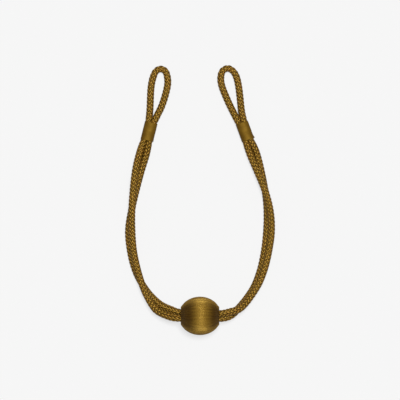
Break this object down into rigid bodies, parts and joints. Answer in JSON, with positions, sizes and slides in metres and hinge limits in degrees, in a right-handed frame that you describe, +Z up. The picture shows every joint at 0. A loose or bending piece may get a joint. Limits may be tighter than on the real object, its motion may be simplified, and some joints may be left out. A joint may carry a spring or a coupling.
{
  "type": "rope curtain tieback",
  "caption": "Braided cord curtain tieback lying flat: doubled arms with a hanging eye at each end, bound by tape collars, joined by a thread-wound ball.",
  "frame": {"origin": "on the floor under the middle of the ball, at its flat spot", "axes": "+X along the ball's bore to the right arm, +Y up the arms to the eyes, +Z up from the floor"},
  "size_m": [0.1764, 0.3185, 0.045],
  "materials": {
    "cord_braid": "silky old-gold braid",
    "collar_tape": "satin old-gold tape",
    "ball_thread": "glossy wound bronze thread"
  },
  "bodies": {
    "root": {"cord_left": "cord_braid", "cord_right": "cord_braid", "collar_left": "collar_tape", "collar_right": "collar_tape", "ball": "ball_thread"}
  },
  "joints": []
}
